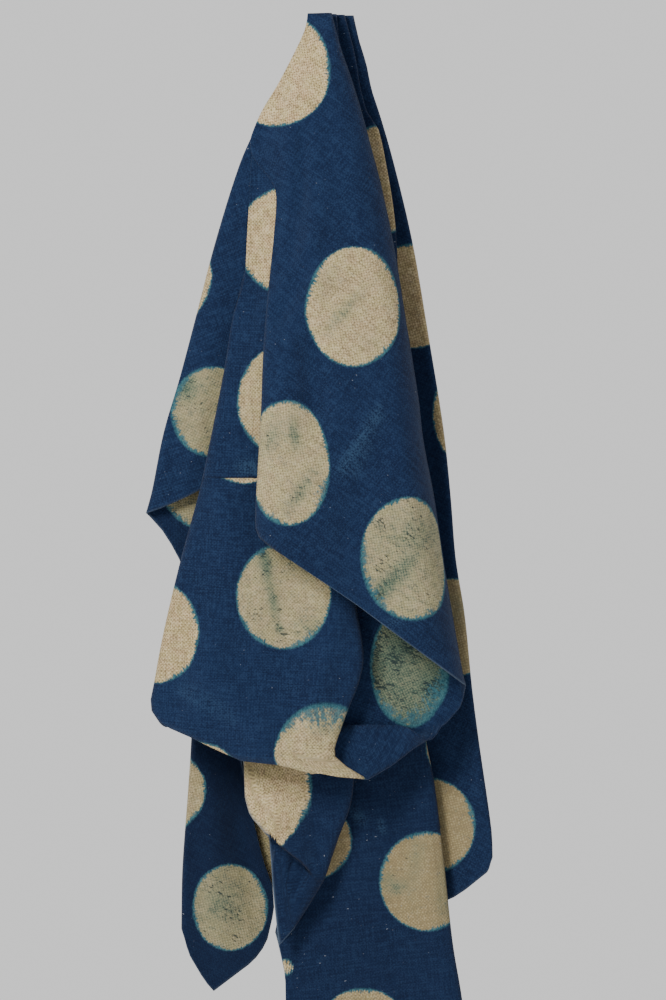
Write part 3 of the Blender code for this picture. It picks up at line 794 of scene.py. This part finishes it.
def lay_discs(grid, ranges):
    """For each point: the gap to the nearest disc's edge, its place there, its dirt and tan."""
    shape = grid.shape[:2]
    gap = np.full(shape, CLEAR_OF_DISCS)
    spot = np.zeros(shape + (3,))
    dirt = np.zeros(shape)
    tan = np.zeros(shape)
    all_discs = DISCS + back_discs()
    last = len(PANELS) - 1
    for number in sorted(range(len(PANELS)), key=lambda i: PANELS[i].name == "s"):
        name = PANELS[number].name
        begin, end = ranges[name]
        flat, sign = unrolled(grid, begin, end)
        low = begin if name == "s" else ranges[PANELS[max(number - 1, 0)].name][0]
        high = end if name == "s" else ranges[PANELS[min(number + 1, last)].name][1]
        beyond = np.zeros(shape)
        beyond[:begin] = (flat[begin] - flat[:begin]) * sign
        beyond[end + 1:] = (flat[end + 1:] - flat[end]) * sign
        allowed = beyond < WRAP_REACH
        allowed[:low] = False
        allowed[high + 1:] = False
        for place, disc in enumerate(all_discs):
            if panel_of(disc.panel) != name:
                continue
            usable = allowed & side_of_tuck(disc.panel, grid)
            across, along = turned(flat - disc.x, grid[:, :, 3] - disc.drop, disc.lean)
            away = np.hypot(across / disc.half_width, along / disc.half_height)
            outward = np.hypot(across, along) * (1.0 - 1.0 / np.maximum(away, DISC_MIDDLE))
            centre = -min(disc.half_width, disc.half_height)
            this_gap = np.where(away > DISC_MIDDLE, outward, centre)
            if disc.panel == "s" and np.any(usable & (gap < DISC_CLEARANCE) & (this_gap < 0.0)):
                continue
            nearer = usable & (this_gap < gap)
            gap[nearer] = this_gap[nearer]
            dirt[nearer] = disc.dirt
            tan[nearer] = disc.tan
            spot[nearer, 0] = across[nearer]
            spot[nearer, 1] = along[nearer]
            spot[nearer, 2] = place * DISC_SEED
    return gap, spot, dirt, tan


def weave_places(grid, ranges):
    """Each point's place along the two directions of the weave."""
    places = np.zeros(grid.shape[:2] + (3,))
    for number, panel in enumerate(PANELS):
        begin, end = ranges[panel.name]
        flat = unrolled(grid, begin, end)[0][begin:end + 1]
        across, along = turned(flat, grid[begin:end + 1, :, 3], panel.grain)
        places[begin:end + 1, :, 0] = across
        places[begin:end + 1, :, 1] = along
        places[begin:end + 1, :, 2] = number * PANEL_SEED
    return places


def add_attribute(mesh, name, values):
    """Keeps a number or a place for each point, for the material."""
    whole = values.ndim == 2
    layer = mesh.attributes.new(name, "FLOAT" if whole else "FLOAT_VECTOR", "POINT")
    numbers = np.ascontiguousarray(values, dtype=np.float32).ravel()
    layer.data.foreach_set("value" if whole else "vector", numbers)


def place_object(name, data):
    thing = bpy.data.objects.new(name, data)
    bpy.context.scene.collection.objects.link(thing)
    return thing


def build_sheet(material):
    grid, ranges = sheet_grid()
    grid[:, :, 2] -= laid_on(grid, ranges, CREASES, crease)
    add_tucks(grid, ranges)
    add_wrinkles(grid, ranges)
    gap, spot, dirt, tan = lay_discs(grid, ranges)
    looks = {
        "disc_gap": gap,
        "disc_dirt": dirt + laid_on(grid, ranges, SMUDGES, smudge),
        "disc_tan": tan,
        "dye_creep": laid_on(grid, ranges, CREEPS, creep),
        "hem_highlight_and_wear": hem_highlight_and_wear(grid, ranges),
        "rubbed": laid_on(grid, ranges, RUBS, soft_line),
        "painted_shade_behind": painted_shade_behind(grid, ranges),
        "disc_spot": spot,
        "weave_place": weave_places(grid, ranges),
    }
    columns, rows = grid.shape[:2]
    points = np.stack((grid[:, :, 1], grid[:, :, 2], -grid[:, :, 0]), axis=-1).reshape(-1, 3) * MM
    index = np.arange(columns * rows).reshape(columns, rows)
    faces = np.stack((index[:-1, :-1], index[:-1, 1:], index[1:, 1:], index[1:, :-1]), axis=-1)
    mesh = bpy.data.meshes.new("dyed_cloth")
    mesh.from_pydata(points.tolist(), [], faces.reshape(-1, 4).tolist())
    mesh.shade_smooth()
    for name, values in looks.items():
        add_attribute(mesh, name, values)
    mesh.materials.append(material)
    sheet = place_object("dyed_cloth", mesh)
    solid = sheet.modifiers.new("thickness", "SOLIDIFY")
    solid.thickness = THICKNESS * MM
    solid.offset = 0.0
    return sheet


class Nodes:
    """Short ways to add and join shader nodes."""

    def __init__(self, owner, shader="Principled BSDF"):
        owner.use_nodes = True
        self.tree = owner.node_tree
        self.shader = self.tree.nodes[shader]

    def join(self, source, socket):
        if isinstance(source, (int, float)):
            socket.default_value = source
        elif isinstance(source, tuple):
            socket.default_value = source + (1.0,) if len(socket.default_value) == 4 else source
        else:
            self.tree.links.new(source, socket)

    def join_all(self, node, sources):
        """Joins sources to a node's sockets, by their names or numbers."""
        for socket, source in sources.items():
            self.join(source, node.inputs[socket])

    def add(self, kind, sources, **settings):
        """A new node, with its settings made before its sockets are joined."""
        node = self.tree.nodes.new("ShaderNode" + kind)
        for name, value in settings.items():
            setattr(node, name, value)
        self.join_all(node, sources)
        return node.outputs

    def attribute(self, name, output):
        return self.add("Attribute", {}, attribute_name=name)[output]

    def math(self, operation, *sources, clamp=False):
        return self.add("Math", dict(enumerate(sources)), operation=operation, use_clamp=clamp)[0]

    def times(self, first, second, clamp=False):
        return self.math("MULTIPLY", first, second, clamp=clamp)

    def weighted(self, *terms, start=0.0):
        """The sum of values, each times its weight."""
        total = start
        for value, weight in terms:
            total = self.math("MULTIPLY_ADD", value, weight, total)
        return total

    def moved(self, value, *terms):
        """A value moved up and down by noises about 0.5, each times its weight."""
        start = -sum(weight for _, weight in terms) / 2.0
        return self.weighted((value, 1.0), *terms, start=start)

    def scaled(self, vector, scale):
        return self.add("VectorMath", {0: vector, 1: scale}, operation="MULTIPLY")[0]

    def split(self, vector):
        return self.add("SeparateXYZ", {0: vector})

    def combine(self, *sources):
        return self.add("CombineXYZ", dict(enumerate(sources)))[0]

    def noise(self, vector, scale=1.0, detail=2.0, roughness=0.5):
        sources = {"Vector": vector, "Scale": scale, "Detail": detail, "Roughness": roughness}
        return self.add("TexNoise", sources)["Fac"]

    def range(self, value, low, high, to_low=0.0, to_high=1.0):
        sources = {"Value": value, "From Min": low, "From Max": high, "To Min": to_low,
                   "To Max": to_high}
        return self.add("MapRange", sources, interpolation_type="SMOOTHSTEP")["Result"]

    def blend(self, share, low, high):
        return self.add("Mix", {0: share, 6: low, 7: high}, data_type="RGBA")[2]

    def tint(self, base, colour, value, *limits):
        """A colour that turns to another as a value goes from its first limit to its second."""
        return self.blend(self.range(value, *limits), base, colour)


def thread_waves(nodes, place):
    """The woven surface: warp and weft that pass over and under each other, 0 to 1."""
    along, down, _ = nodes.split(place)
    wobble = nodes.noise(place, scale=0.09)
    step = math.pi / WEAVE_SPACING
    warp = nodes.math("SINE", nodes.weighted((wobble, 9.0), (along, step)))
    weft = nodes.math("SINE", nodes.weighted((wobble, 7.0), (down, step)))
    return nodes.weighted((nodes.times(warp, weft), 0.5), start=0.5)


def threads(nodes, place):
    """Uneven threads along both directions of the weave, about 0.5."""
    warp = nodes.noise(nodes.scaled(place, (1.15, 0.10, 1.0)), roughness=0.6)
    weft = nodes.noise(nodes.scaled(place, (0.10, 1.15, 1.7)), roughness=0.6)
    return warp, weft


def ring_noise(nodes, spot, lobes, outward, detail):
    """Unevenness round a disc, with about six features for each lobe."""
    right, down, seed = nodes.split(spot)
    angle = nodes.math("ARCTAN2", down, right)
    x = nodes.times(nodes.math("COSINE", angle), lobes)
    y = nodes.times(nodes.math("SINE", angle), lobes)
    far = nodes.math("SQRT", nodes.weighted((down, down), (right, right)))
    z = nodes.weighted((far, outward), start=seed)
    return nodes.noise(nodes.combine(x, y, z), detail=detail)


def ragged_gap(nodes, gap, spot, place):
    """The distance to the undyed cloth's edge, notched as the pleats under the clamp left it."""
    slow = ring_noise(nodes, spot, 1.7, 0.0, 2.0)
    teeth = ring_noise(nodes, spot, 27.0, 0.22, 1.0)
    fine = nodes.noise(place, scale=0.8)
    length = nodes.range(slow, 0.40, 0.72, *NOTCH_LENGTH)
    notch = nodes.times(nodes.range(teeth, 0.44, 0.68), length)
    edge = nodes.moved(nodes.math("ADD", gap, notch), (fine, 1.8), (slow, 2.6))
    outer = nodes.moved(gap, (slow, 2.6), (fine, 1.6))
    return edge, outer, slow


def crept_dye(nodes, edge, creep_depth, spot, place, both, grain):
    """How much dye crept in past the edge: mottled streaks that fade towards the middle."""
    streaks = ring_noise(nodes, spot, 15.0, 0.05, 3.0)
    blotch = nodes.noise(place, scale=0.30, detail=4.0, roughness=0.7)
    depth = nodes.math("DIVIDE", edge, nodes.math("MAXIMUM", creep_depth, 0.4))
    inside = nodes.moved(depth, (blotch, 3.06), (streaks, 2.04), (grain, 1.19), (both, 1.19))
    shown = nodes.range(creep_depth, 0.3, 2.0)
    return nodes.times(nodes.range(inside, -1.0, -0.1, 0.0, 0.9), shown)


def dyed_blue(nodes, place, behind_shade, rub, weave, both, grain):
    """Indigo, cloudy and threadlike, paler where it is rubbed, and darker with painted shade on the
    panels behind.
    """
    cloudy = nodes.noise(place, scale=0.018, detail=5.0, roughness=0.62)
    patchy = nodes.noise(place, scale=0.16, detail=3.0, roughness=0.65)
    depth = nodes.weighted((patchy, 0.4), (cloudy, 0.6))
    blue = nodes.tint(INDIGO_DEEP, INDIGO, depth, 0.36, 0.64)
    lit = nodes.weighted((both, 1.3), (weave, 0.16), (grain, 0.40))
    blue = nodes.tint(blue, INDIGO_WORN, lit, 0.85, 1.13, 0.0, 0.85)
    blue = nodes.tint(blue, INDIGO_DARK, lit, 0.91, 0.65, 0.0, 0.6)
    # painted shade: the panels that hang behind the front ones are painted darker
    blue = nodes.blend(behind_shade, blue, INDIGO_DARK)
    worn = nodes.times(rub, nodes.range(lit, 0.78, 1.02))
    return nodes.blend(worn, blue, RUBBED), patchy


def undyed_cream(nodes, place, dirt, tan, weave, warp, weft, both, grain):
    """Bare cotton: mottled, with brown thread marks, green stains and clustered specks."""
    mottled = nodes.noise(place, scale=0.16, detail=5.0, roughness=0.7)
    cream = nodes.tint(CREAM, CREAM_WARM, mottled, 0.34, 0.68)
    tinge = nodes.noise(nodes.scaled(place, (0.13, 0.13, 2.3)), detail=3.0, roughness=0.6)
    tinted = nodes.tint(CREAM_PINK, CREAM_GREEN, tinge, 0.38, 0.62)
    cream = nodes.blend(0.45, cream, tinted)
    cream = nodes.blend(tan, cream, TAN)
    tone = nodes.weighted((both, 1.4), (weave, 0.28), (grain, 0.45))
    light = nodes.weighted((tan, -0.7), start=0.95)
    pale = nodes.times(nodes.range(tone, 1.06, 1.25), light)
    cream = nodes.blend(pale, cream, CREAM_PALE)
    cream = nodes.tint(cream, THREAD_SHADE, tone, 1.06, 0.86, 0.0, 0.95)
    cream = nodes.blend(nodes.times(dirt, 0.36, clamp=True), cream, STAIN_SOFT)
    marks = nodes.range(nodes.math("MAXIMUM", warp, weft), 0.60, 0.69)
    broken = nodes.range(nodes.noise(place, scale=0.25), 0.44, 0.60, 0.0, 0.75)
    cream = nodes.blend(nodes.times(marks, broken), cream, THREAD_MARK)
    cloud = nodes.noise(place, scale=0.05, detail=4.0, roughness=0.65)
    streak = nodes.noise(nodes.scaled(place, (0.20, 0.30, 1.9)), detail=5.0, roughness=0.75)
    reach = nodes.weighted((cloud, 0.6), (streak, 1.1), (grain, 1.0), (both, 1.5), (dirt, 0.30))
    shown = nodes.range(tone, 1.22, 0.96, 0.42, 0.95)
    cream = nodes.blend(nodes.times(nodes.range(reach, 2.40, 2.74), shown), cream, STAIN)
    cluster = nodes.noise(place, scale=0.07)
    lengthwise = nodes.scaled(place, (0.42, 1.0, 1.3))
    speck = nodes.noise(lengthwise, scale=0.62, detail=4.0, roughness=0.7)
    speckled = nodes.weighted((cluster, 0.5), (speck, 1.0), (dirt, 0.095))
    return nodes.tint(cream, SPECK, speckled, 0.98, 1.06, 0.0, 0.85)


def cloth_material():
    """Undyed cloth in the discs, teal at their edges, blue outside, pale at the hems."""
    material = bpy.data.materials.new("dyed_cotton")
    nodes = Nodes(material)
    names = ("disc_gap", "disc_dirt", "disc_tan", "dye_creep", "hem_highlight_and_wear", "rubbed", "painted_shade_behind")
    gap, dirt, tan, creeps, edge_highlight_and_wear, rub, behind_shade = (nodes.attribute(name, "Fac") for name in names)
    spot = nodes.attribute("disc_spot", "Vector")
    place = nodes.attribute("weave_place", "Vector")
    weave = thread_waves(nodes, place)
    warp, weft = threads(nodes, place)
    edge, outer, slow = ragged_gap(nodes, gap, spot, place)
    both = nodes.weighted((weft, 0.5), (warp, 0.5))
    grain = nodes.noise(place, scale=0.85, roughness=0.6)
    blue, patchy = dyed_blue(nodes, place, behind_shade, rub, weave, both, grain)
    cream = undyed_cream(nodes, place, dirt, tan, weave, warp, weft, both, grain)

    teal_tone = nodes.weighted((warp, 0.4), (grain, 0.6))
    teal = nodes.tint(TEAL, TEAL_PALE, teal_tone, 0.36, 0.62)
    crept = crept_dye(nodes, edge, creeps, spot, place, both, grain)
    colour = nodes.blend(crept, cream, teal)
    inner = nodes.range(slow, 0.35, 0.75, *TEAL_INSIDE)
    colour = nodes.tint(colour, teal, edge, inner, 0.15)
    halo = nodes.weighted((creeps, 0.1), start=nodes.range(slow, 0.35, 0.75, *TEAL_OUTSIDE))
    colour = nodes.tint(colour, blue, outer, -0.3, halo)
    # painted highlight and wear: a thin pale line along each hem
    colour = nodes.blend(edge_highlight_and_wear, colour, HEM_PALE)
    fluff = nodes.noise(nodes.scaled(place, (0.6, 1.1, 1.0)), scale=0.9, detail=0.0)
    colour = nodes.tint(colour, LINT, fluff, 0.86, 0.90, 0.0, 0.5)

    height = nodes.weighted((warp, 0.8), (weft, 0.8), (weave, 0.7), (grain, 0.8), (patchy, 1.2))
    bump = nodes.add("Bump", {"Strength": 0.7, "Distance": THREAD_RELIEF * MM, "Height": height})
    nodes.join_all(nodes.shader, SURFACE)
    nodes.join_all(nodes.shader, {"Base Color": colour, "Normal": bump["Normal"]})
    return material


def make_studio():
    """A pale floor below the hanging cloth."""
    half = FLOOR_HALF
    corners = ((-half, -half), (half, -half), (half, half), (-half, half))
    mesh = bpy.data.meshes.new("studio_floor")
    mesh.from_pydata([(x, y, -FLOOR_DROP) for x, y in corners], [], [(0, 1, 2, 3)])
    paper = bpy.data.materials.new("studio_paper")
    nodes = Nodes(paper)
    nodes.join_all(nodes.shader, FLOOR_SURFACE)
    mesh.materials.append(paper)
    place_object("studio_floor", mesh)


def make_air():
    """Even light from all round, and a paler backdrop that lights nothing."""
    world = bpy.data.worlds.new("studio_air")
    nodes = Nodes(world, "Background")
    nodes.join_all(nodes.shader, {"Color": AIR_COLOUR, "Strength": AIR_STRENGTH})
    backdrop = nodes.add("Background", {"Color": BACKDROP_COLOUR})
    seen = nodes.add("LightPath", {})["Is Camera Ray"]
    either = nodes.add("MixShader", {0: seen, 1: nodes.shader.outputs[0], 2: backdrop[0]})
    nodes.join(either[0], nodes.tree.nodes["World Output"].inputs["Surface"])
    bpy.context.scene.world = world


def make_lights():
    for name, place, size, power, colour in LIGHTS:
        data = bpy.data.lights.new(name, "AREA")
        data.shape = "RECTANGLE"
        data.size = size[0]
        data.size_y = size[1]
        data.energy = power
        data.color = colour
        light = place_object(name, data)
        light.location = place
        towards = Vector(LIGHT_AIM) - Vector(place)
        light.rotation_euler = towards.to_track_quat("-Z", "Y").to_euler()


def make_camera():
    data = bpy.data.cameras.new("camera")
    data.sensor_width = SENSOR
    data.sensor_fit = "AUTO"
    data.lens = SENSOR * CAMERA_DISTANCE / VIEW_HEIGHT
    camera = place_object("camera", data)
    camera.location = (0.0, -CAMERA_DISTANCE, -VIEW_MIDDLE_DROP)
    camera.rotation_euler = (math.pi / 2.0, 0.0, 0.0)
    bpy.context.scene.camera = camera


make_camera()
sheet = build_sheet(cloth_material())
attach(sheet, "root")
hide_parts("cloth")
make_studio()
make_air()
make_lights()
